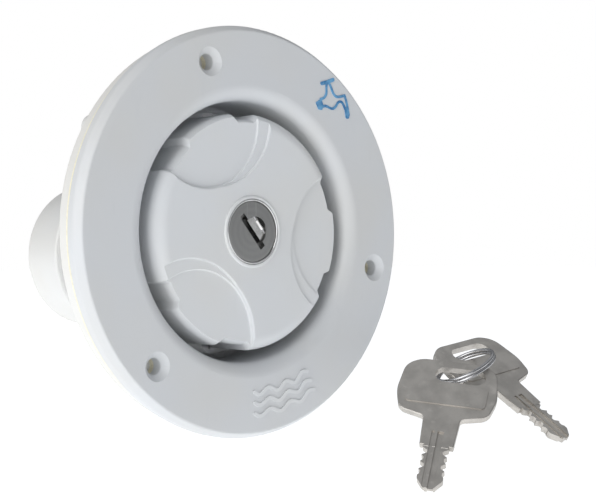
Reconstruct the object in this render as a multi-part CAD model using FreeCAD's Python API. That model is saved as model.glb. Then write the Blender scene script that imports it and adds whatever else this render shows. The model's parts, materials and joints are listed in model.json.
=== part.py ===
import FreeCAD, Part
import math
import os

V = FreeCAD.Vector

# Recessed, lockable water filler, in millimetres. The model is drawn with its axis along +Z,
# z = 0 on the mounting plane and the front face towards +Z, and turned at the end so that
# the front looks along -Y with +Z up.

# Flange, bowl and what lies between the flange and the wall
FLANGE_R = 57.5
FACE_Z = 11.0
GASKET_TOP = 6.0
GASKET_BOTTOM = 4.2
GASKET_R = 56.7
SPACER_R = 56.2
BACKING_IN = 43.0
BOWL_R = 36.6
BOWL_WALL = 2.4
MOUTH_ROUND = 4.1
RIM_IN = 1.5
RIM_DROP = 2.4
FLOOR_TOP = -11.0
FLOOR_BOTTOM = -13.5
SCREW_PCD = 97.0
SCREW_HOLE_R = 2.3
SCREW_HEAD_R = 4.0
SCREW_START = 107.6

# Neck ring and its quick thread
NECK_IN = 25.2
NECK_OUT = 27.0
COLLAR_R = 28.7
COLLAR_TOP = -3.6
NECK_FLANGE_R = 35.0
NECK_FLANGE_TOP = -8.8
NECK_FLANGE_BOTTOM = -10.4
NECK_BOTTOM = -27.5
SEAT_TOP = -25.5
SEAT_IN = 19.5
LEAD = 32.0
RIB_IN = 23.4
RIB_START_Z = -19.0
RIB_THICK = 2.4
RIB_SPAN = 60.0
LUG_OUT = 24.8
LUG_THICK = 2.2
LUG_FROM = 12.0
LUG_TO = 46.0
THREAD_GAP = 0.3
CLAMP_R = 32.0
CLAMP_START = 30.0

# Cap shell with its finger grips
CAP_R = 33.2
CAP_ROUND = 4.1
SKIRT_IN = 29.3
SKIRT_BOTTOM = -8.3
ROOF_BOTTOM = 8.0
PAD_CENTRE = 34.75
PAD_R = 19.1
PAD_FLOOR = 9.6
STEP_R = 20.0
STEP_FLOOR = 10.3
STEP_TURN = -5.5
PAD_START = 117.5
NOTCH_R = 31.5
NOTCH_HALF = 32.0
NOTCH_EASE = 1.7
TAB_FROM = -19.0
TAB_TO = 14.0

# Plug, swivelling seal plate and cap screws
PLUG_R = 23.1
PLUG_IN = 20.7
PLUG_TOP = 4.5
PLUG_FLANGE_BOTTOM = 2.2
PLUG_FLANGE_R = 28.5
PLUG_BOTTOM = -21.0
PLATE_TOP = -21.3
PLATE_BOTTOM = -23.4
PLATE_R = 22.9
CAP_SCREW_R = 25.9

# Lock
BARREL_R = 8.0
BARREL_HEAD_R = 9.1
BARREL_SEAT = 8.9
CORE_FACE_R = 8.5
CORE_R = 6.4
CORE_BOTTOM = -2.3
RUNNING = 0.05
SLOT_ANGLE = -50.0
WINDOW_R = 4.0
WINDOW_S = 0.5
WINDOW_T = 0.95
FLAP_T = 3.7
FLAP_Z = 9.9
CAM_TOP = -2.4
CAM_BOTTOM = -4.6
PIN_R = 1.1
PIN_START = 6.0
BOLT_TRAVEL = 4.0
BOLT_TOP = -5.5
BOLT_BOTTOM = -8.1
BOLT_HALF = 3.0
BOLT_TIP = 22.7
SLIDE_GAP = 0.3

# Hose tail and vent
TAIL_TOP = -14.1
TAIL_DROP = 6.15
TAIL_END = -72.6
TAIL_OUT = 22.3
TAIL_IN = 19.6
TAIL_STOP_R = 24.2
VENT_R = 42.0
VENT_ANGLE = 135.0
VENT_BOSS_R = 5.6

# Keys: their plane leans back at an angle to the filler
WAFER_LEVELS = [4.0, 2.9, 1.8, 0.7, -0.4]

KEY_ORIGIN = (48.2, -36.6, 51.3)
KEY_THICK = 2.0
KEY_TILT = 23.2
KEY_TILT_AXIS = (-0.586, 0.810, 0.0)
KEY_FRONT_EYE_X = 2.9
KEY_BEHIND_EYE_X = 0.4
KEY_SIDE_ANGLE = -47.6
KEY_LEAN_ANGLE = 46.0
KEY_EYE_HALF = 4.3
KEY_EYE_R = 2.6
KEY_EYE_Y = 6.0
RING_R = 8.45
RING_WIRE = 0.5


def cyl(r, z0, z1, x=0.0, y=0.0):
    return Part.makeCylinder(r, z1 - z0, V(x, y, z0))


def tube(outer, inner, z0, z1, x=0.0, y=0.0):
    return cyl(outer, z0, z1, x, y).cut(cyl(inner, z0 - 1, z1 + 1, x, y))


def cone(r0, r1, z0, z1, x=0.0, y=0.0):
    return Part.makeCone(r0, r1, z1 - z0, V(x, y, z0))


def box(x0, x1, y0, y1, z0, z1):
    return Part.makeBox(x1 - x0, y1 - y0, z1 - z0, V(x0, y0, z0))


def polar(r, degrees):
    a = math.radians(degrees)
    return r * math.cos(a), r * math.sin(a)


def spun(shape, degrees):
    turned_shape = shape.copy()
    turned_shape.rotate(V(0, 0, 0), V(0, 0, 1), degrees)
    return turned_shape


def moved(shape, x, y, z):
    shifted = shape.copy()
    shifted.translate(V(x, y, z))
    return shifted


def fused(shapes):
    first, rest = shapes[0], shapes[1:]
    return first.multiFuse(rest).removeSplitter() if rest else first


def outline(points, lift):
    """Closed wire through the points; a third value on a point rounds that corner."""
    count = len(points)
    corners = []
    for i, point in enumerate(points):
        here = V(point[0], point[1], 0)
        if len(point) < 3:
            corners.append((here, here, None))
            continue
        before = V(points[i - 1][0], points[i - 1][1], 0)
        after = V(points[(i + 1) % count][0], points[(i + 1) % count][1], 0)
        a = before.sub(here).normalize()
        b = after.sub(here).normalize()
        half = a.getAngle(b) / 2
        reach = point[2] / math.tan(half)
        centre = here + a.add(b).normalize() * (point[2] / math.sin(half))
        middle = centre + here.sub(centre).normalize() * point[2]
        corners.append((here + a * reach, here + b * reach, middle))
    edges = []
    for i, (start, end, middle) in enumerate(corners):
        if middle is not None:
            edges.append(Part.Arc(lift(start), lift(middle), lift(end)).toShape())
        following = corners[(i + 1) % count][0]
        if following.sub(end).Length > 1e-6:
            edges.append(Part.makeLine(lift(end), lift(following)))
    return Part.Wire(edges)


def turned(points):
    """Solid of revolution about Z from (radius, z) points."""
    wire = outline(points, lambda p: V(p.x, 0, p.y))
    return Part.Face(wire).revolve(V(0, 0, 0), V(0, 0, 1), 360)


def prism(points, z0, z1):
    wire = outline(points, lambda p: V(p.x, p.y, z0))
    return Part.Face(wire).extrude(V(0, 0, z1 - z0))


def band(points, width, z0, z1):
    """Flat stroke of even width along a smooth curve through the points."""
    count = len(points)
    left, right = [], []
    for i, (x, y) in enumerate(points):
        back = points[max(i - 1, 0)]
        ahead = points[min(i + 1, count - 1)]
        along = V(ahead[0] - back[0], ahead[1] - back[1], 0).normalize()
        side = V(-along.y, along.x, 0) * (width / 2)
        left.append(V(x, y, z0) + side)
        right.append(V(x, y, z0) - side)
    curves = []
    for side_points in (left, right):
        curve = Part.BSplineCurve()
        curve.interpolate(side_points)
        curves.append(curve.toShape())
    ends = [Part.makeLine(left[0], right[0]), Part.makeLine(left[-1], right[-1])]
    wire = Part.Wire(Part.__sortEdges__(curves + ends))
    stroke = Part.Face(wire).extrude(V(0, 0, z1 - z0))
    caps = [cyl(width / 2, z0, z1, *points[0]), cyl(width / 2, z0, z1, *points[-1])]
    return stroke.multiFuse(caps).removeSplitter()


def helical_block(inner, outer, z_start, thick, span_from, span_to):
    """Ridge that climbs along the quick thread between two angles; z_start is at angle 0."""
    sections = []
    steps = 12
    for i in range(steps + 1):
        angle = span_from + (span_to - span_from) * i / steps
        low = z_start + LEAD * angle / 360.0
        corners = [(inner, low), (outer, low), (outer, low + thick), (inner, low + thick)]
        wire = Part.makePolygon([V(*polar(r, angle), z) for r, z in corners + corners[:1]])
        sections.append(wire)
    return Part.makeLoft(sections, True, False)


def screw_spots():
    return [polar(SCREW_PCD / 2, SCREW_START + 120 * i) for i in range(3)]


def clamp_spots():
    return [polar(CLAMP_R, CLAMP_START + 60 * i) for i in range(6)]


def cap_screw_spots():
    return [polar(CAP_SCREW_R, 45 + 90 * i) for i in range(4)]


def flange_housing():
    outer_wall = BOWL_R + BOWL_WALL
    body = turned([
        (BOWL_R, FACE_Z, MOUTH_ROUND),
        (FLANGE_R - RIM_IN, FACE_Z, 0.8),
        (FLANGE_R, FACE_Z - RIM_DROP, 2.0),
        (FLANGE_R, GASKET_TOP, 0.6),
        (outer_wall, GASKET_TOP, 0.8),
        (outer_wall, FLOOR_BOTTOM, 1.5),
        (NECK_OUT + 0.3, FLOOR_BOTTOM),
        (NECK_OUT + 0.3, FLOOR_TOP),
        (BOWL_R, FLOOR_TOP, 1.2),
    ])
    vx, vy = polar(VENT_R, VENT_ANGLE)
    boss = cyl(VENT_BOSS_R, FLOOR_BOTTOM, -2.0, vx, vy).cut(cyl(BOWL_R, -20, 20))
    body = fused([body, boss])
    body = body.cut(cyl(2.95, FLOOR_BOTTOM - 1, -6.0, vx, vy))
    start = V(*polar(34.0, VENT_ANGLE), -7.6)
    outward = V(*polar(1, VENT_ANGLE), 0)
    passage = Part.makeCylinder(1.8, VENT_R - 34.0, start, outward)
    body = body.cut(passage)
    for x, y in screw_spots():
        body = body.cut(cyl(SCREW_HOLE_R, 0, 20, x, y))
        sink = cone(SCREW_HOLE_R, SCREW_HEAD_R + 0.2, FACE_Z - 1.8, FACE_Z + 0.2, x, y)
        body = body.cut(sink)
    for x, y in clamp_spots():
        body = body.cut(cyl(1.7, -20, 0, x, y))
    return body


def backing(outer, z0, z1, edge):
    ring = turned([(BACKING_IN, z1), (outer, z1, edge), (outer, z0, edge), (BACKING_IN, z0)])
    ring = ring.cut(cyl(VENT_BOSS_R + 0.8, z0 - 1, z1 + 1, *polar(VENT_R, VENT_ANGLE)))
    for x, y in screw_spots():
        ring = ring.cut(cyl(SCREW_HOLE_R, z0 - 1, z1 + 1, x, y))
    return ring


TAP_STROKES = [
    [(26.4, 43.3), (28.6, 43.9), (30.8, 44.7)],
    [(28.6, 43.8), (28.2, 42.5), (28.1, 40.4), (27.2, 39.2), (25.9, 38.7)],
    [(28.8, 43.8), (29.8, 42.8), (30.5, 41.4), (31.9, 39.9), (33.6, 39.9), (35.4, 40.4)],
    [(35.4, 40.4), (35.9, 39.3), (36.4, 37.8), (36.8, 36.4)],
    [
        (26.6, 36.5), (28.7, 36.6), (30.4, 36.2), (32.0, 37.1),
        (32.9, 38.2), (34.1, 38.4), (34.9, 37.7), (35.6, 36.5),
    ],
]
TAP_INLET = [(23.9, 37.6, 0.4), (26.1, 38.9, 0.4), (26.9, 36.9, 0.4), (26.4, 35.5, 0.4), (25.0, 35.6, 0.4)]
TAP_OUTLET = [(35.3, 37.0, 0.3), (36.9, 37.0, 0.3), (37.5, 34.9, 0.5), (37.0, 33.6, 0.5), (35.9, 33.6, 0.5)]
INLAY_DEPTH = 0.4
INLAY_PROUD = 0.2


def tap_symbol():
    low, high = FACE_Z - INLAY_DEPTH, FACE_Z + INLAY_PROUD
    pieces = [prism(TAP_INLET, low, high), prism(TAP_OUTLET, low, high)]
    widths = [1.1, 0.75, 0.75, 0.75, 0.75]
    for points, width in zip(TAP_STROKES, widths):
        pieces.append(band(points, width, low, high))
    return fused(pieces)


def wave_emblem():
    low, high = FACE_Z - INLAY_DEPTH, FACE_Z + 0.35
    waves = []
    for radius in (44.6, 47.6, 50.6):
        points = []
        for i in range(25):
            swell = 0.75 * math.sin(2 * math.pi * i / 8)
            points.append(polar(radius + swell, 270.5 + i * 26.0 / 24))
        waves.append(band(points, 1.0, low, high))
    return Part.makeCompound(waves)


def neck_ring():
    ring = turned([
        (NECK_IN, COLLAR_TOP, 0.5),
        (COLLAR_R, COLLAR_TOP, 0.5),
        (COLLAR_R, NECK_FLANGE_TOP),
        (NECK_FLANGE_R, NECK_FLANGE_TOP, 0.5),
        (NECK_FLANGE_R, NECK_FLANGE_BOTTOM),
        (NECK_OUT, NECK_FLANGE_BOTTOM),
        (NECK_OUT, NECK_BOTTOM, 0.6),
        (SEAT_IN, NECK_BOTTOM),
        (SEAT_IN, SEAT_TOP, 0.4),
        (NECK_IN, SEAT_TOP),
    ])
    rib = helical_block(RIB_IN, NECK_IN + 0.6, RIB_START_Z, RIB_THICK, 0, RIB_SPAN)
    ring = fused([ring] + [spun(rib, 120 * i) for i in range(3)])
    reach = BOLT_TIP + BOLT_TRAVEL + 0.7
    ring = ring.cut(box(-reach, reach, -BOLT_HALF - 0.4, BOLT_HALF + 0.4, BOLT_BOTTOM - 0.3, BOLT_TOP + 0.4))
    for x, y in clamp_spots():
        ring = ring.cut(cyl(1.6, -20, 0, x, y))
        ring = ring.cut(cone(1.5, 3.0, NECK_FLANGE_TOP - 1.3, NECK_FLANGE_TOP + 0.2, x, y))
    return ring


def flat_seal(outer, inner, z0, z1):
    seal = tube(outer, inner, z0, z1)
    for x, y in clamp_spots():
        seal = seal.cut(cyl(1.7, z0 - 1, z1 + 1, x, y))
    return seal


def clamp_screws():
    screws = []
    for x, y in clamp_spots():
        head = cone(1.5, 2.75, NECK_FLANGE_TOP - 1.3, NECK_FLANGE_TOP - 0.05, x, y)
        shank = cyl(1.5, -22.0, NECK_FLANGE_TOP - 1.3, x, y)
        screw = fused([head, shank])
        cross = box(-1.5, 1.5, -0.3, 0.3, -0.8, 0.2).fuse(box(-0.3, 0.3, -1.5, 1.5, -0.8, 0.2))
        screws.append(screw.cut(moved(cross, x, y, NECK_FLANGE_TOP)))
    return Part.makeCompound(screws)


def circle_wire(r, y, z):
    return Part.Wire(Part.makeCircle(r, V(0, y, z), V(0, 0, 1)))


def swept_bend(r_top, r_end):
    """Tapering, dropping middle of the hose tail."""
    wires = [
        circle_wire(r_top, 0, -31.0),
        circle_wire(r_top - 0.8, -0.5, -35.0),
        circle_wire((r_top + r_end) / 2, -TAIL_DROP / 2, -41.5),
        circle_wire(r_end + 0.5, -TAIL_DROP + 0.5, -48.0),
        circle_wire(r_end, -TAIL_DROP, -52.0),
    ]
    return Part.makeLoft(wires, True, False)


def hose_tail():
    flange = turned([
        (20, TAIL_TOP), (36.4, TAIL_TOP, 0.4), (36.4, TAIL_TOP - 3.0, 0.8), (20, TAIL_TOP - 3.0),
    ])
    bosses = [cyl(3.0, -23.0, TAIL_TOP - 2.0, x, y) for x, y in clamp_spots()]
    socket = cyl(30.2, -31.0, TAIL_TOP)
    bend = swept_bend(30.2, TAIL_OUT)
    spout = cyl(TAIL_OUT, TAIL_END + 2.0, -52.0, 0, -TAIL_DROP)
    lip = turned([
        (20.5, TAIL_END), (TAIL_OUT, TAIL_END, 1.0), (TAIL_OUT, TAIL_END + 3), (20.5, TAIL_END + 3),
    ])
    stop = turned([(20.5, -55.2), (TAIL_STOP_R, -55.2, 0.8), (TAIL_STOP_R, -52.8, 0.8), (20.5, -52.8)])
    collars = [moved(lip, 0, -TAIL_DROP, 0), moved(stop, 0, -TAIL_DROP, 0)]
    body = fused([flange, socket, bend, spout] + bosses + collars)
    bore_end = cyl(TAIL_IN, TAIL_END - 1, -51.9, 0, -TAIL_DROP)
    hollow = fused([cyl(28.0, -31.0, 0), swept_bend(28.0, TAIL_IN), bore_end])
    body = body.cut(hollow)
    for x, y in clamp_spots():
        body = body.cut(cyl(1.52, -22.5, 0, x, y))
    return body


def vent_nipple():
    x, y = polar(VENT_R, VENT_ANGLE)
    stem = turned([
        (1.8, -8.0), (2.9, -8.0, 0.3), (2.9, -14.1), (5.0, -14.1, 0.3), (5.0, -16.3, 0.3), (4.0, -16.3),
        (4.0, -24.5, 0.7), (1.8, -24.5, 0.3),
    ])
    return moved(stem, x, y, 0)


def vent_seal():
    x, y = polar(VENT_R, VENT_ANGLE)
    return tube(4.6, 3.0, -14.1, FLOOR_BOTTOM, x, y)


def side_step(r0, r1, angle, z):
    """Soft step of the cap's side from one radius to another, leaving and arriving along the circle."""
    turns = [-1.0, -0.5, 0.0, 0.5, 1.0]
    parts = [0.0, 0.16, 0.5, 0.84, 1.0]
    points = []
    for turn, part in zip(turns, parts):
        points.append(V(*polar(r0 + (r1 - r0) * part, angle + NOTCH_EASE * turn), z))
    leave = V(*polar(1.0, angle - NOTCH_EASE + 90.0), 0)
    arrive = V(*polar(1.0, angle + NOTCH_EASE + 90.0), 0)
    curve = Part.BSplineCurve()
    curve.interpolate(Points=points, InitialTangent=leave, FinalTangent=arrive)
    return curve.toShape()


def side_arc(r, start, end, z):
    ends = [V(*polar(r, angle), z) for angle in (start, (start + end) / 2, end)]
    return Part.Arc(*ends).toShape()


def rim_wire(inset, z):
    """Outline of the cap: full radius, and set in on both sides of the tab in each finger pad."""
    full, low = CAP_R - inset, NOTCH_R - inset
    edges = []
    for pad in range(3):
        centre = PAD_START + 120.0 * pad
        steps = [
            (-NOTCH_HALF, full, low), (TAB_FROM, low, full), (TAB_TO, full, low), (NOTCH_HALF, low, full),
        ]
        for i, (turn, r0, r1) in enumerate(steps):
            following = steps[i + 1][0] if i < 3 else 120.0 - NOTCH_HALF
            edges.append(side_step(r0, r1, centre + turn, z))
            edges.append(side_arc(r1, centre + turn + NOTCH_EASE, centre + following - NOTCH_EASE, z))
    return Part.Wire(edges)


def cap_outside():
    side_top = FACE_Z - CAP_ROUND
    side = Part.Face(rim_wire(0.0, SKIRT_BOTTOM)).extrude(V(0, 0, side_top - SKIRT_BOTTOM))
    sections = []
    for i in range(7):
        a = math.radians(15 * i)
        sections.append(rim_wire(CAP_ROUND * (1 - math.cos(a)), side_top + CAP_ROUND * math.sin(a)))
    return side.fuse(Part.makeLoft(sections, True, False))


def pad_cutter(radius, floor, foot, edge):
    """Round sinking in the cap's face with a soft foot and a soft upper edge."""
    return turned([
        (0, floor),
        (radius, floor, foot),
        (radius, FACE_Z, edge),
        (radius + 3, FACE_Z),
        (radius + 3, FACE_Z + 5),
        (0, FACE_Z + 5),
    ])


def cap_shell():
    hollow = turned([
        (0, SKIRT_BOTTOM - 1), (SKIRT_IN, SKIRT_BOTTOM - 1), (SKIRT_IN, ROOF_BOTTOM, 1.5), (0, ROOF_BOTTOM),
    ])
    shell = cap_outside().cut(hollow).cut(cyl(BARREL_R + 0.1, ROOF_BOTTOM - 1, 20))
    for i in range(3):
        angle = PAD_START + 120 * i
        shell = shell.cut(moved(pad_cutter(PAD_R, PAD_FLOOR, 0.5, 0.6), *polar(PAD_CENTRE, angle), 0))
        step_place = polar(PAD_CENTRE, angle + STEP_TURN)
        shell = shell.cut(moved(pad_cutter(STEP_R, STEP_FLOOR, 0.2, 0.4), *step_place, 0))
    boss = tube(11.4, BARREL_R + 0.1, 4.6, ROOF_BOTTOM)
    collar = turned([
        (BARREL_HEAD_R + 0.1, FACE_Z - 0.2),
        (BARREL_HEAD_R + 0.1, FACE_Z + 0.5, 0.2),
        (BARREL_HEAD_R + 0.8, FACE_Z + 0.5, 0.4),
        (BARREL_HEAD_R + 1.1, FACE_Z - 0.2),
    ])
    screw_bosses = [cyl(2.7, PLUG_TOP, ROOF_BOTTOM, x, y) for x, y in cap_screw_spots()]
    shell = fused([shell, boss, collar] + screw_bosses)
    shell = shell.cut(cyl(BARREL_HEAD_R + 0.1, BARREL_SEAT, 20))
    for x, y in cap_screw_spots():
        shell = shell.cut(cyl(1.12, 0, 7.3, x, y))
    return shell


def cap_plug():
    body = turned([
        (PLUG_IN, PLUG_TOP),
        (PLUG_FLANGE_R, PLUG_TOP, 0.5),
        (PLUG_FLANGE_R, PLUG_FLANGE_BOTTOM, 0.5),
        (PLUG_R, PLUG_FLANGE_BOTTOM),
        (PLUG_R, PLUG_BOTTOM, 1.0),
        (0, PLUG_BOTTOM),
        (0, PLUG_BOTTOM + 2.5),
        (PLUG_IN, PLUG_BOTTOM + 2.5),
    ])
    web_top = BOLT_BOTTOM - 0.2
    web = cyl(PLUG_IN + 0.5, web_top - 2.2, web_top)
    post = cyl(4.0, PLUG_BOTTOM + 2.0, web_top - 2.0)
    rails = []
    for side in (-1, 1):
        for end in (-1, 1):
            y0, y1 = sorted((side * (BOLT_HALF + SLIDE_GAP), side * (BOLT_HALF + 2.3)))
            x0, x1 = sorted((end * 7.0, end * (PLUG_IN - 0.2)))
            rails.append(box(x0, x1, y0, y1, web_top - 0.5, BOLT_TOP + 0.2))
    lug_start = RIB_START_Z - THREAD_GAP - LUG_THICK
    lug = helical_block(PLUG_R - 0.6, LUG_OUT, lug_start, LUG_THICK, LUG_FROM, LUG_TO)
    body = fused([body, web, post] + rails + [spun(lug, 120 * i) for i in range(3)])
    window = BOLT_HALF + SLIDE_GAP
    for end in (-1, 1):
        x0, x1 = sorted((end * (PLUG_IN - 1.0), end * (PLUG_R + 2.0)))
        body = body.cut(box(x0, x1, -window, window, web_top, BOLT_TOP + 0.2))
    for x, y in cap_screw_spots():
        body = body.cut(cyl(1.25, 0, 10, x, y))
    return body.cut(cyl(1.5, PLUG_BOTTOM - 1, -16.8))


def cap_screws():
    screws = []
    for x, y in cap_screw_spots():
        head = turned([(0, 0.2), (2.2, 0.2, 0.6), (2.2, PLUG_FLANGE_BOTTOM), (0, PLUG_FLANGE_BOTTOM)])
        cross = box(-1.2, 1.2, -0.25, 0.25, 0.0, 0.9).fuse(box(-0.25, 0.25, -1.2, 1.2, 0.0, 0.9))
        screw = fused([head.cut(cross), cyl(1.1, PLUG_FLANGE_BOTTOM - 0.2, 7.1)])
        screws.append(moved(screw, x, y, 0))
    return Part.makeCompound(screws)


def seal_plate():
    return turned([
        (2.55, PLATE_TOP),
        (PLATE_R, PLATE_TOP, 0.5),
        (PLATE_R, PLATE_BOTTOM),
        (SEAT_IN - 0.6, PLATE_BOTTOM),
        (SEAT_IN - 0.6, PLATE_BOTTOM - 1.4, 0.5),
        (SEAT_IN - 2.6, PLATE_BOTTOM - 1.4, 0.5),
        (SEAT_IN - 2.6, PLATE_BOTTOM),
        (2.55, PLATE_BOTTOM),
    ])


def plug_seal():
    low = SEAT_TOP + 0.05
    return turned([
        (SEAT_IN - 0.55, PLATE_BOTTOM),
        (PLATE_R, PLATE_BOTTOM),
        (PLATE_R, low, 0.7),
        (SEAT_IN + 0.6, low, 0.7),
        (SEAT_IN - 0.55, PLATE_BOTTOM - 0.8),
    ])


def swivel_screw():
    body = turned([
        (0, -17.0), (1.48, -17.0), (1.48, PLUG_BOTTOM), (2.5, PLUG_BOTTOM), (2.5, PLATE_BOTTOM - 0.1),
        (4.6, PLATE_BOTTOM - 0.1), (4.6, PLATE_BOTTOM - 1.5, 0.6), (0, PLATE_BOTTOM - 1.5),
    ])
    low = PLATE_BOTTOM - 1.6
    cross = box(-2.2, 2.2, -0.4, 0.4, low, low + 0.9).fuse(box(-0.4, 0.4, -2.2, 2.2, low, low + 0.9))
    return body.cut(cross)


def lock_frame(shape):
    """Turns a shape drawn with the key slot along X to the slot's real angle."""
    return spun(shape, SLOT_ANGLE)


def window_prism(radius, t_low, z0, z1):
    """Half-moon beside the key slot, drawn with the slot along X."""
    disc = cyl(radius, z0, z1, WINDOW_S, WINDOW_T)
    return disc.common(box(-20, 20, t_low, 20, z0, z1))


def lock_barrel():
    return turned([
        (CORE_R + RUNNING, 9.9),
        (CORE_FACE_R + 0.1, 9.9),
        (CORE_FACE_R + 0.1, FACE_Z + 0.3, 0.2),
        (BARREL_HEAD_R, FACE_Z + 0.3, 0.25),
        (BARREL_HEAD_R, BARREL_SEAT),
        (BARREL_R, BARREL_SEAT),
        (BARREL_R, -1.6, 0.4),
        (CORE_R + RUNNING, -1.6),
    ])


def lock_nut():
    points = [polar(12.0, 60 * i) for i in range(6)]
    return prism(points, 2.0, 4.6).cut(cyl(BARREL_R + 0.05, 0, 6))


def lock_core():
    body = turned([
        (0, FACE_Z), (CORE_FACE_R, FACE_Z, 0.25), (CORE_FACE_R, 10.0),
        (CORE_R, 10.0), (CORE_R, CORE_BOTTOM), (0, CORE_BOTTOM),
    ])
    tenon = box(-3, 3, -3, 3, CAM_BOTTOM + 0.1, CORE_BOTTOM + 0.2)
    body = fused([body, tenon])
    slot = box(-5.85, 5.85, -WINDOW_T, WINDOW_T, 9.3, 20)
    keyway = box(-4.3, 4.3, -1.15, 1.15, -1.2, 10.0)
    body = body.cut(slot).cut(keyway)
    body = body.cut(window_prism(WINDOW_R, -0.5, 9.0, 20))
    body = body.cut(window_prism(WINDOW_R + 0.1, -0.5, 5.6, 10.0))
    for z in WAFER_LEVELS:
        body = body.cut(box(-5.0, 5.0, -2.4, 2.4, z, z + 0.8))
    bore = Part.makeCylinder(0.4, 7.0, V(-3.0, FLAP_T, FLAP_Z), V(1, 0, 0))
    body = body.cut(bore).cut(cyl(1.42, -10, -1.3))
    return lock_frame(body)


def wafers():
    plates = []
    for z in WAFER_LEVELS:
        plate = box(-4.9, 4.9, -2.3, 2.3, z + 0.05, z + 0.75)
        window = box(-3.6, 3.6, -1.2, 1.2, z - 1, z + 2)
        plates.append(lock_frame(plate.cut(window)))
    return Part.makeCompound(plates)


def shutter_pin():
    return lock_frame(Part.makeCylinder(0.35, 6.2, V(-2.6, FLAP_T, FLAP_Z), V(1, 0, 0)))


def dust_shutter():
    flap = window_prism(WINDOW_R - 0.2, WINDOW_T + 0.1, FLAP_Z - 0.3, FLAP_Z + 0.3)
    flap = flap.common(box(-20, 20, -20, 4.25, 0, 20))
    knuckle = Part.makeCylinder(0.62, 3.2, V(-1.1, FLAP_T, FLAP_Z), V(1, 0, 0))
    flap = fused([flap, knuckle])
    clear = Part.makeCylinder(0.42, 9.0, V(-4.0, FLAP_T, FLAP_Z), V(1, 0, 0))
    return lock_frame(flap.cut(clear))


def spiral_slot():
    """Slot that pushes a bolt's pin out by the same distance for each degree of turn."""
    half = PIN_R + SLIDE_GAP
    points = []
    for i in range(-1, 20):
        part = i / 18.0
        points.append(polar(PIN_START + BOLT_TRAVEL * part, 90.0 * part))
    return band(points, 2 * half, CAM_BOTTOM - 1, CAM_TOP + 1)


def lock_cam():
    disc = turned([(0, CAM_BOTTOM), (12.8, CAM_BOTTOM, 0.3), (12.8, CAM_TOP, 0.3), (0, CAM_TOP)])
    square = lock_frame(box(-3.02, 3.02, -3.02, 3.02, CAM_BOTTOM - 1, CAM_TOP + 1))
    disc = disc.cut(square)
    slot = spiral_slot()
    return disc.cut(slot).cut(spun(slot, 180))


def cam_screw():
    low = CAM_BOTTOM - 1.7
    body = turned([(0, low), (4.3, low, 0.5), (4.3, CAM_BOTTOM), (1.4, CAM_BOTTOM), (1.4, -1.4), (0, -1.4)])
    return body.cut(box(-4.5, 4.5, -0.5, 0.5, low - 1, low + 0.7))


def bolt():
    bar = prism([
        (4.7, -BOLT_HALF), (BOLT_TIP, -BOLT_HALF, 0.6), (BOLT_TIP, BOLT_HALF, 0.6), (4.7, BOLT_HALF),
    ], BOLT_BOTTOM, BOLT_TOP)
    return fused([bar, cyl(PIN_R, BOLT_TOP - 0.5, CAM_TOP - 0.3, PIN_START, 0)])


KEY_HEAD = [
    (-5.0, -9.2, 1.2), (-12.0, -7.4, 3.4), (-13.7, -1.0, 12.0), (-12.6, 8.6, 5.2), (-8.5, 11.0, 6.5),
    (8.5, 11.0, 6.5), (12.6, 8.6, 5.2), (13.7, -1.0, 12.0), (12.0, -7.4, 3.4), (5.0, -9.2, 1.2),
    (4.5, -18.8, 0.3), (3.4, -18.8), (3.4, -19.4), (-3.4, -19.4), (-3.4, -18.8), (-4.5, -18.8, 0.3),
]
KEY_BLADE = [
    (-3.4, -19.0), (-3.4, -29.8, 0.8), (-1.4, -32.5, 0.8), (1.4, -32.5, 0.8), (3.4, -29.8, 0.8), (3.4, -19.0),
]
KEY_PANEL = [(-10.8, -4.8, 1.2), (10.8, -4.8, 1.2), (11.0, 2.6, 1.2), (-11.0, 2.6, 1.2)]
KEY_GROOVES = [(-0.3, 1.3, 0.6), (-1.9, -1.1, 0.4)]
KEY_BITS = [-20.9, -23.2, -25.5, -27.8]
BIT_DEPTHS = [1.4, 0.7, 1.2, 0.5]


def softened(plate, radius):
    """The plate with the edges of its two flat faces rounded."""
    return plate.makeFillet(radius, [edge for edge in plate.Edges if edge.BoundBox.ZLength < 1e-5])


def flat_key(slot_x):
    """Key lying in the XY plane: head around the origin, blade down -Y, back face on z = 0."""
    head = softened(prism(KEY_HEAD, 0, KEY_THICK), 0.35)
    blade = prism(KEY_BLADE, 0.1, KEY_THICK - 0.1)
    panel = prism(KEY_PANEL, KEY_THICK - 0.2, KEY_THICK + 0.25)
    key = fused([head, blade, panel, moved(panel, 0, 0, -KEY_THICK - 0.05)])
    for x0, x1, depth in KEY_GROOVES:
        key = key.cut(box(x0, x1, -34.0, -14.0, -0.5, depth))
        key = key.cut(box(x0, x1, -34.0, -14.0, KEY_THICK - depth, KEY_THICK + 0.5))
    for y, depth in zip(KEY_BITS, BIT_DEPTHS):
        for side in (-1, 1):
            tip = side * (3.4 - depth)
            edge = side * 3.8
            notch = [(edge, y - 1.5), (tip, y - 0.4), (tip, y + 0.4), (edge, y + 1.5)]
            key = key.cut(prism(notch, -1, KEY_THICK + 1))
    left = slot_x - KEY_EYE_HALF
    right = slot_x + KEY_EYE_HALF
    eye = fused([
        cyl(KEY_EYE_R, -2, 5, left, KEY_EYE_Y),
        cyl(KEY_EYE_R, -2, 5, right, KEY_EYE_Y),
        box(left, right, KEY_EYE_Y - KEY_EYE_R, KEY_EYE_Y + KEY_EYE_R, -2, 5),
    ])
    return key.cut(eye)


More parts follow.
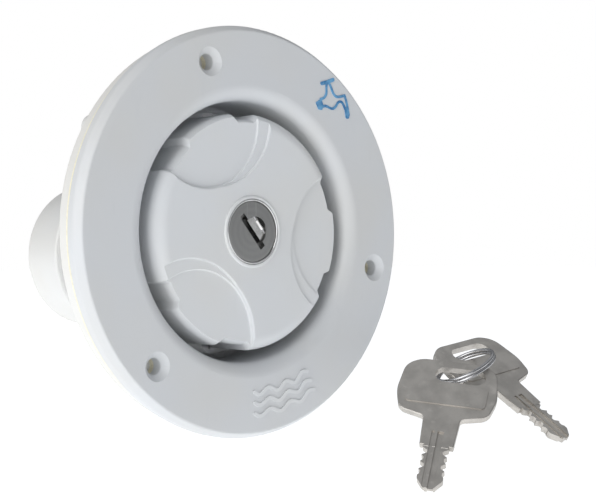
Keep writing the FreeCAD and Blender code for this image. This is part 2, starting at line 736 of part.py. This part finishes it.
def in_key_plane(shape, u, v, w, turn, tilt=0.0):
    """Turns a flat shape in the keys' plane, tilts it out of that plane and carries it to the keys' place."""
    a = math.radians(KEY_SIDE_ANGLE)
    lean = math.radians(KEY_LEAN_ANGLE)
    right = V(math.cos(a), 0, -math.sin(a))
    normal = V(math.sin(a) * math.cos(lean), math.sin(lean), math.cos(a) * math.cos(lean))
    up = normal.cross(right)
    placed = shape.copy()
    placed.rotate(V(0, 0, 0), V(0, 0, 1), turn)
    placed.rotate(V(0, 0, 0), V(*KEY_TILT_AXIS), tilt)
    placed.translate(V(u, v, w))
    matrix = FreeCAD.Matrix(
        right.x, up.x, normal.x, KEY_ORIGIN[0],
        right.y, up.y, normal.y, KEY_ORIGIN[1],
        right.z, up.z, normal.z, KEY_ORIGIN[2],
        0, 0, 0, 1,
    )
    return placed.transformed(matrix)


def key_front():
    return in_key_plane(flat_key(KEY_FRONT_EYE_X), -9.02, -12.39, 0.0, -8.9)


def key_behind():
    return in_key_plane(flat_key(KEY_BEHIND_EYE_X), 0.84, 4.34, -8.13, 41.1, KEY_TILT)


def split_ring():
    lower = Part.makeTorus(RING_R, RING_WIRE, V(0, 0, -0.46))
    upper = Part.makeTorus(RING_R, RING_WIRE, V(0, 0, 0.46))
    return fused([lower, upper])


def key_ring():
    ring = split_ring()
    across, along = polar(1.0, -136.13)
    ring.rotate(V(0, 0, 0), V(across, along, 0), 36.84)
    return in_key_plane(ring, -3.88, -0.264, -1.612, 0.0)


def write(nodes):
    os.makedirs("parts", exist_ok=True)
    for name, shape in nodes.items():
        placed = shape.copy()
        placed.rotate(V(0, 0, 0), V(1, 0, 0), 90)
        placed.exportStep("parts/" + name + ".step")


housing = flange_housing()
tap = tap_symbol()
waves = wave_emblem()
bolt_shape = bolt()

write({
    "flange_housing": housing.cut(tap).cut(waves),
    "flange_gasket": backing(GASKET_R, GASKET_BOTTOM, GASKET_TOP, 0.3),
    "spacer_ring": backing(SPACER_R, 0.0, GASKET_BOTTOM, 0.7),
    "tap_symbol": tap,
    "wave_emblem": waves,
    "neck_ring": neck_ring(),
    "neck_seal": flat_seal(NECK_FLANGE_R, NECK_OUT + 0.4, FLOOR_TOP, NECK_FLANGE_BOTTOM),
    "clamp_screws": clamp_screws(),
    "tail_seal": flat_seal(NECK_FLANGE_R, NECK_OUT + 0.8, TAIL_TOP, FLOOR_BOTTOM),
    "hose_tail": hose_tail(),
    "vent_nipple": vent_nipple(),
    "vent_seal": vent_seal(),
    "seal_plate": seal_plate(),
    "plug_seal": plug_seal(),
    "cap_shell": cap_shell(),
    "cap_plug": cap_plug(),
    "cap_screws": cap_screws(),
    "swivel_screw": swivel_screw(),
    "lock_barrel": lock_barrel(),
    "lock_nut": lock_nut(),
    "lock_core": lock_core(),
    "wafers": wafers(),
    "shutter_pin": shutter_pin(),
    "dust_shutter": dust_shutter(),
    "lock_cam": lock_cam(),
    "cam_screw": cam_screw(),
    "bolt_right": bolt_shape,
    "bolt_left": spun(bolt_shape, 180),
    "key_front": key_front(),
    "key_behind": key_behind(),
    "key_ring": key_ring(),
})
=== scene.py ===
import json
import math

import bpy
from mathutils import Matrix, Vector


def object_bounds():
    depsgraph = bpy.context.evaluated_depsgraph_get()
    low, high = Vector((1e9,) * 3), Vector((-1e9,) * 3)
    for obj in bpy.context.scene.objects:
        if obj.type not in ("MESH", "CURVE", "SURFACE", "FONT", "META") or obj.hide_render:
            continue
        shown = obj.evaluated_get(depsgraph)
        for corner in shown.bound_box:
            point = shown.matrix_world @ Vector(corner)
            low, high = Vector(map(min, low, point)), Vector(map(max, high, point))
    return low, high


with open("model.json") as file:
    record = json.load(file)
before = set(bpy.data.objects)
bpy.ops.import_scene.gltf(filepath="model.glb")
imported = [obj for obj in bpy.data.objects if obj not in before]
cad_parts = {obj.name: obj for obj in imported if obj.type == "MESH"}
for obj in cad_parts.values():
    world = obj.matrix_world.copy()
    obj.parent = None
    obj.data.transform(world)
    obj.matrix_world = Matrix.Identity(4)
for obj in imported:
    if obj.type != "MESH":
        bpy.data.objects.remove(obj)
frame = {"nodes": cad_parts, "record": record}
cad_box = [list(corner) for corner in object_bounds()]
nodes = frame["nodes"]
scene = bpy.context.scene

MM = 0.001


# ---------------------------------------------------------------- node trees

class Paint:
    """A material's node tree, with a short call for each kind of node that the finishes use."""

    def __init__(self, name, color, rough, metal=0.0, **constants):
        self.material = bpy.data.materials.new(name)
        self.material.use_nodes = True
        self.material.diffuse_color = (*color, 1.0)
        self.tree = self.material.node_tree
        self.shader = self.tree.nodes["Principled BSDF"]
        self.shader.inputs["Base Color"].default_value = (*color, 1.0)
        self.shader.inputs["Roughness"].default_value = rough
        self.shader.inputs["Metallic"].default_value = metal
        for socket, value in constants.items():
            self.shader.inputs[socket.replace("_", " ")].default_value = value
        self.height = None
        self.coords = self.tree.nodes.new("ShaderNodeTexCoord").outputs["Object"]

    def new(self, kind, **fields):
        node = self.tree.nodes.new(kind)
        for field, value in fields.items():
            setattr(node, field, value)
        return node

    def link(self, source, target):
        self.tree.links.new(source, target)

    def stretched(self, scale, turn=(0.0, 0.0, 0.0)):
        mapping = self.new("ShaderNodeMapping")
        mapping.inputs["Scale"].default_value = scale
        mapping.inputs["Rotation"].default_value = turn
        self.link(self.coords, mapping.inputs["Vector"])
        return mapping.outputs["Vector"]

    def noise(self, size_mm, detail=3.0, vector=None, roughness=0.5):
        node = self.new("ShaderNodeTexNoise")
        node.inputs["Scale"].default_value = 1.0 / (size_mm * MM)
        node.inputs["Detail"].default_value = detail
        node.inputs["Roughness"].default_value = roughness
        self.link(vector or self.coords, node.inputs["Vector"])
        return node.outputs["Fac"]

    def cells(self, size_mm, feature="F1", vector=None):
        node = self.new("ShaderNodeTexVoronoi", feature=feature)
        node.inputs["Scale"].default_value = 1.0 / (size_mm * MM)
        self.link(vector or self.coords, node.inputs["Vector"])
        return node.outputs["Distance"]

    def math(self, operation, a, b=None, c=None):
        node = self.new("ShaderNodeMath", operation=operation)
        for socket, value in zip(node.inputs, (a, b, c)):
            if value is None:
                continue
            if isinstance(value, (int, float)):
                socket.default_value = value
            else:
                self.link(value, socket)
        return node.outputs["Value"]

    def spread(self, value, low, high, to_low=0.0, to_high=1.0):
        node = self.new("ShaderNodeMapRange")
        node.interpolation_type = "SMOOTHSTEP"
        limits = {"From Min": low, "From Max": high, "To Min": to_low, "To Max": to_high}
        for socket, number in limits.items():
            node.inputs[socket].default_value = number
        self.link(value, node.inputs["Value"])
        return node.outputs["Result"]

    def blend(self, factor, first, second):
        node = self.new("ShaderNodeMix", data_type="RGBA")
        self.link(factor, node.inputs["Factor"])
        for socket, value in (("A", first), ("B", second)):
            target = next(s for s in node.inputs if s.name == socket and s.type == "RGBA")
            if isinstance(value, tuple):
                target.default_value = (*value, 1.0)
            else:
                self.link(value, target)
        return next(s for s in node.outputs if s.type == "RGBA")

    def color(self, value):
        self.link(value, self.shader.inputs["Base Color"])

    def rough(self, value):
        self.link(value, self.shader.inputs["Roughness"])

    def bump(self, height, depth_mm, strength=1.0):
        node = self.new("ShaderNodeBump")
        node.inputs["Strength"].default_value = strength
        node.inputs["Distance"].default_value = depth_mm * MM
        self.link(height, node.inputs["Height"])
        if self.height is not None:
            self.link(self.height, node.inputs["Normal"])
        self.height = node.outputs["Normal"]
        self.link(self.height, self.shader.inputs["Normal"])

    def radius(self, first, second):
        """Distance from the axis that is square to the two named ones, in metres."""
        node = self.new("ShaderNodeSeparateXYZ")
        self.link(self.coords, node.inputs["Vector"])
        squares = [self.math("MULTIPLY", node.outputs[axis], node.outputs[axis]) for axis in (first, second)]
        return self.math("SQRT", self.math("ADD", *squares))


def shade(color, factor):
    return tuple(min(1.0, c * factor) for c in color)


# ---------------------------------------------------------------- finishes

WARM = (1.0, 0.985, 0.955)
STAIN = (0.94, 0.88, 0.74)


def moulded(name, color, rough, grain_mm=0.35, grain_depth=0.006):
    """Injection-moulded plastic: faint flow clouds, fine spark grain, dull scuffs and a few dust specks."""
    p = Paint(name, color, rough, IOR=1.5)
    clouds = p.spread(p.noise(28.0, 2.0), 0.35, 0.7)
    toned = p.blend(clouds, color, tuple(c * w for c, w in zip(color, WARM)))
    specks = p.spread(p.cells(5.5), 0.0, 0.045, 0.30, 0.0)
    dusty = p.blend(specks, toned, shade(color, 0.72))
    streaks = p.noise(3.2, 5.0, p.stretched((1.0, 1.0, 0.22), (0.2, 0.5, 0.3)))
    scuffs = p.spread(streaks, 0.60, 0.78, 0.0, 0.22)
    p.color(p.blend(scuffs, dusty, shade(color, 0.93)))
    p.rough(p.math("ADD", p.spread(p.noise(7.0, 4.0), 0.3, 0.75, rough - 0.05, rough + 0.07),
                   p.math("MULTIPLY", scuffs, 0.35)))
    p.bump(p.noise(grain_mm, 2.0), grain_depth, 0.7)
    p.bump(p.noise(16.0, 1.0), 0.05, 0.25)
    return p.material


def foam(name, color):
    """Closed-cell foam: fine open-looking cells, with painted shade making each cell floor slightly darker.
    """
    p = Paint(name, color, 0.85, Sheen_Weight=0.15, Sheen_Roughness=0.5)
    cells = p.cells(0.55)
    # painted shade: the colour darkens towards each cell's centre, where the bump below sinks into a hollow
    tone = p.blend(p.spread(cells, 0.15, 0.6), shade(color, 0.86), color)
    stains = p.spread(p.noise(9.0, 3.0), 0.52, 0.75, 0.0, 0.4)
    p.color(p.blend(stains, tone, tuple(c * w for c, w in zip(color, STAIN))))
    p.rough(p.spread(p.noise(1.2), 0.3, 0.7, 0.78, 0.95))
    p.bump(cells, 0.12, 0.8)
    return p.material


def rubber(name):
    """Black seal rubber with a dry bloom and moulding grain."""
    color = (0.018, 0.018, 0.02)
    p = Paint(name, color, 0.62, Sheen_Weight=0.2, Sheen_Roughness=0.4)
    bloom = p.spread(p.noise(4.0, 5.0), 0.5, 0.8, 0.0, 0.45)
    p.color(p.blend(bloom, color, (0.075, 0.075, 0.08)))
    p.rough(p.spread(p.noise(1.5, 3.0), 0.3, 0.7, 0.52, 0.74))
    p.bump(p.noise(0.3, 2.0), 0.02, 0.8)
    return p.material


def inlay(name, deep, light):
    """Poured blue inlay: denser pigment in some places, a glossy meniscus and pinholes."""
    p = Paint(name, deep, 0.28, Coat_Weight=0.6, Coat_Roughness=0.08)
    pigment = p.spread(p.noise(2.4, 4.0), 0.34, 0.66)
    mixed = p.blend(pigment, deep, light)
    pinholes = p.spread(p.cells(1.6), 0.0, 0.10, 0.6, 0.0)
    p.color(p.blend(pinholes, mixed, shade(light, 1.25)))
    p.rough(p.spread(p.noise(1.4), 0.3, 0.7, 0.22, 0.40))
    p.bump(p.noise(1.1, 2.0), 0.03, 0.6)
    return p.material


def turned(name, color, pitch_mm=0.28, rough=0.34, ring_depth=0.010):
    """Lathe-turned metal: fine rings round the axis with uneven width, plus handling scratches."""
    p = Paint(name, color, rough, metal=1.0)
    r = p.radius("X", "Z")
    uneven = p.math("MULTIPLY", p.noise(6.0, 2.0), 0.25 * pitch_mm * MM)
    phase = p.math("MULTIPLY", p.math("ADD", r, uneven), 2 * math.pi / (pitch_mm * MM))
    rings = p.math("MULTIPLY_ADD", p.math("SINE", phase), 0.5, 0.5)
    broad = p.math("MULTIPLY_ADD", p.math("SINE", p.math("MULTIPLY", r, 2 * math.pi / (1.9 * MM))), 0.5, 0.5)
    tone = p.blend(p.math("MULTIPLY", broad, 0.35), shade(color, 0.93), shade(color, 1.1))
    lines = p.noise(0.9, 4.0, p.stretched((1.0, 1.0, 0.05), (0.0, 0.6, 0.0)))
    scratches = p.spread(lines, 0.62, 0.74, 0.0, 0.5)
    p.color(p.blend(scratches, tone, shade(color, 1.35)))
    p.rough(p.math("MULTIPLY_ADD", p.noise(1.8, 3.0), 0.16, rough - 0.06))
    p.bump(rings, ring_depth, 0.6)
    p.bump(scratches, 0.006, 0.5)
    return p.material


def rolled(name, color, rough, grain=(1.0, 0.06, 1.0), turn=(0.0, 0.0, 0.0), depth=0.008, wear=1.2):
    """Rolled or brushed metal: long grain one way, cloudy tone, bright worn patches and small nicks."""
    p = Paint(name, color, rough, metal=1.0)
    lines = p.noise(0.35, 3.0, p.stretched(grain, turn))
    clouds = p.spread(p.noise(5.0, 4.0), 0.3, 0.72)
    tone = p.blend(clouds, shade(color, 0.84), shade(color, 1.06))
    nicks = p.spread(p.cells(2.3), 0.0, 0.07, 0.7, 0.0)
    dark = p.blend(nicks, tone, shade(color, 0.55))
    worn = p.spread(p.noise(2.2, 6.0), 0.58, 0.76, 0.0, 0.6)
    p.color(p.blend(worn, dark, shade(color, wear)))
    p.rough(p.math("MULTIPLY_ADD", lines, 0.22, rough - 0.11))
    p.bump(lines, depth, 0.8)
    p.bump(p.noise(1.3, 3.0), 0.02, 0.3)
    return p.material


def plated(name, color, rough):
    """Polished plating: clean, with orange peel, hairline scratches and a light haze."""
    p = Paint(name, color, rough, metal=1.0)
    haze = p.spread(p.noise(3.0, 4.0), 0.4, 0.75)
    p.color(p.blend(haze, color, shade(color, 0.88)))
    fine = p.noise(0.5, 2.0, p.stretched((0.08, 1.0, 1.0), (0.3, 0.4, 0.9)))
    hairlines = p.spread(fine, 0.63, 0.72, 0.0, 0.5)
    p.rough(p.math("MULTIPLY_ADD", haze, 0.08, rough))
    p.bump(p.noise(0.9, 1.0), 0.006, 0.5)
    p.bump(hairlines, 0.003, 0.5)
    return p.material


WHITE = (0.672, 0.69, 0.712)
paints = {
    "housing_plastic": moulded("housing_plastic", WHITE, 0.42),
    "cap_plastic": moulded("cap_plastic", (0.73, 0.75, 0.772), 0.46, 0.30, 0.004),
    "emblem_plastic": moulded("emblem_plastic", (0.74, 0.76, 0.78), 0.38, 0.30, 0.004),
    "spacer_plastic": moulded("spacer_plastic", (0.765, 0.765, 0.75), 0.50, 0.45, 0.010),
    "tail_plastic": moulded("tail_plastic", (0.735, 0.738, 0.73), 0.40, 0.40, 0.006),
    "neck_plastic": moulded("neck_plastic", (0.72, 0.74, 0.76), 0.5),
    "inner_plastic": moulded("inner_plastic", (0.66, 0.68, 0.70), 0.5),
    "gasket_foam": foam("gasket_foam", (0.88, 0.84, 0.68)),
    "seal_rubber": rubber("seal_rubber"),
    "symbol_blue": inlay("symbol_blue", (0.045, 0.19, 0.42), (0.16, 0.40, 0.66)),
    "screw_steel": rolled("screw_steel", (0.58, 0.58, 0.59), 0.34),
    "lock_bezel": plated("lock_bezel", (0.88, 0.88, 0.88), 0.14),
    "lock_face": turned("lock_face", (0.34, 0.34, 0.335)),
    "lock_steel": rolled("lock_steel", (0.52, 0.53, 0.52), 0.38, (1.0, 1.0, 1.0)),
    "lock_brass": rolled("lock_brass", (0.72, 0.54, 0.24), 0.33, (0.1, 1.0, 1.0)),
    "shutter_bright": plated("shutter_bright", (0.86, 0.85, 0.83), 0.16),
    "ring_steel": plated("ring_steel", (0.50, 0.50, 0.51), 0.26),
    "key_nickel": rolled("key_nickel", (0.58, 0.555, 0.52), 0.46, (1.0, 1.0, 0.08), (0.4, 0.7, 0.2)),
}

for part in frame["record"]["subparts"]:
    piece = nodes[part["node"]]
    piece.data.materials.clear()
    piece.data.materials.append(paints[part["material_slot"]])


# ---------------------------------------------------------------- camera

AIM = Vector((0.0, -0.011, 0.0))
AZIMUTH = math.radians(-39.81)
ELEVATION = math.radians(-1.08)
ROLL = math.radians(-0.27)
DISTANCE = 0.3917
LENS_MM = 85.07
SENSOR_MM = 36.0
SHIFT = (0.0762, -0.0309)

back = Vector((
    math.sin(AZIMUTH) * math.cos(ELEVATION),
    -math.cos(AZIMUTH) * math.cos(ELEVATION),
    math.sin(ELEVATION),
))
level = Vector((math.cos(AZIMUTH), math.sin(AZIMUTH), 0.0))
side = level * math.cos(ROLL) + back.cross(level) * math.sin(ROLL)
lift = back.cross(side)
camera = bpy.data.objects.new("camera", bpy.data.cameras.new("camera"))
camera.data.lens = LENS_MM
camera.data.sensor_width = SENSOR_MM
camera.data.shift_x, camera.data.shift_y = SHIFT
camera.data.clip_start = 0.01
camera.data.clip_end = 20.0
turn = Matrix((side, lift, back)).transposed().to_4x4()
camera.matrix_world = Matrix.Translation(AIM + back * DISTANCE) @ turn
scene.collection.objects.link(camera)
scene.camera = camera


# ---------------------------------------------------------------- light and floor

# name, place in metres, width and height in metres, power in watts, tint
LIGHTS = [
    ("left_light", (-1.26, -0.31, 0.32), (1.2, 1.2), 12.8, (1.0, 0.995, 0.985)),
    ("front_light", (0.35, -1.3, 0.55), (1.2, 0.8), 0.15, (0.94, 0.975, 1.0)),
    ("top_light", (0.30, 0.15, 1.25), (2.2, 2.0), 4.6, (0.97, 0.985, 1.0)),
]
AMBIENT = 0.17
AMBIENT_TINT = (0.95, 0.98, 1.03, 1.0)
BACKGROUND = (1.0, 1.0, 1.0, 1.0)

for name, place, size, power, tint in LIGHTS:
    data = bpy.data.lights.new(name, "AREA")
    data.shape = "RECTANGLE"
    data.size, data.size_y = size
    data.energy = power
    data.color = tint
    lamp = bpy.data.objects.new(name, data)
    lamp.location = place
    lamp.rotation_euler = Vector(place).to_track_quat("Z", "Y").to_euler()
    scene.collection.objects.link(lamp)

world = bpy.data.worlds.new("studio")
world.use_nodes = True
sky = world.node_tree.nodes["Background"]
sky.inputs["Color"].default_value = AMBIENT_TINT
sky.inputs["Strength"].default_value = AMBIENT
bright = world.node_tree.nodes.new("ShaderNodeBackground")
bright.inputs["Color"].default_value = BACKGROUND
bright.inputs["Strength"].default_value = 1.0
path = world.node_tree.nodes.new("ShaderNodeLightPath")
either = world.node_tree.nodes.new("ShaderNodeMixShader")
for source, target in (
    (path.outputs["Is Camera Ray"], either.inputs["Fac"]),
    (sky.outputs["Background"], either.inputs[1]),
    (bright.outputs["Background"], either.inputs[2]),
    (either.outputs["Shader"], world.node_tree.nodes["World Output"].inputs["Surface"]),
):
    world.node_tree.links.new(source, target)
scene.world = world

FLOOR_GAP = 0.5 * MM
FLOOR_HALF = 6.0
FLOOR_TONES = [(0.80, 0.80, 0.80), (0.83, 0.83, 0.83)]
FLOOR_GLOW_TINT = (0.97, 0.985, 1.0, 1.0)
NEAR, FAR = 0.25, 1.4
GLOW_NEAR, GLOW_FAR = 0.79, 0.93

floor_z = cad_box[0][2] - FLOOR_GAP
corners = [(x, y, floor_z) for x, y in ((-1, -1), (1, -1), (1, 1), (-1, 1))]
floor_mesh = bpy.data.meshes.new("floor")
floor_mesh.from_pydata([(x * FLOOR_HALF, y * FLOOR_HALF, z) for x, y, z in corners], [], [(0, 1, 2, 3)])
floor = bpy.data.objects.new("floor", floor_mesh)
scene.collection.objects.link(floor)
pale = Paint("floor_pale", FLOOR_TONES[0], 0.8)
pale.color(pale.blend(pale.noise(40.0, 2.0), *FLOOR_TONES))
pale.shader.inputs["Emission Color"].default_value = FLOOR_GLOW_TINT
glow = pale.spread(pale.radius("X", "Y"), NEAR, FAR, GLOW_NEAR, GLOW_FAR)
pale.link(glow, pale.shader.inputs["Emission Strength"])
floor_mesh.materials.append(pale.material)

scene.view_settings.view_transform = "Standard"
scene.view_settings.look = "None"
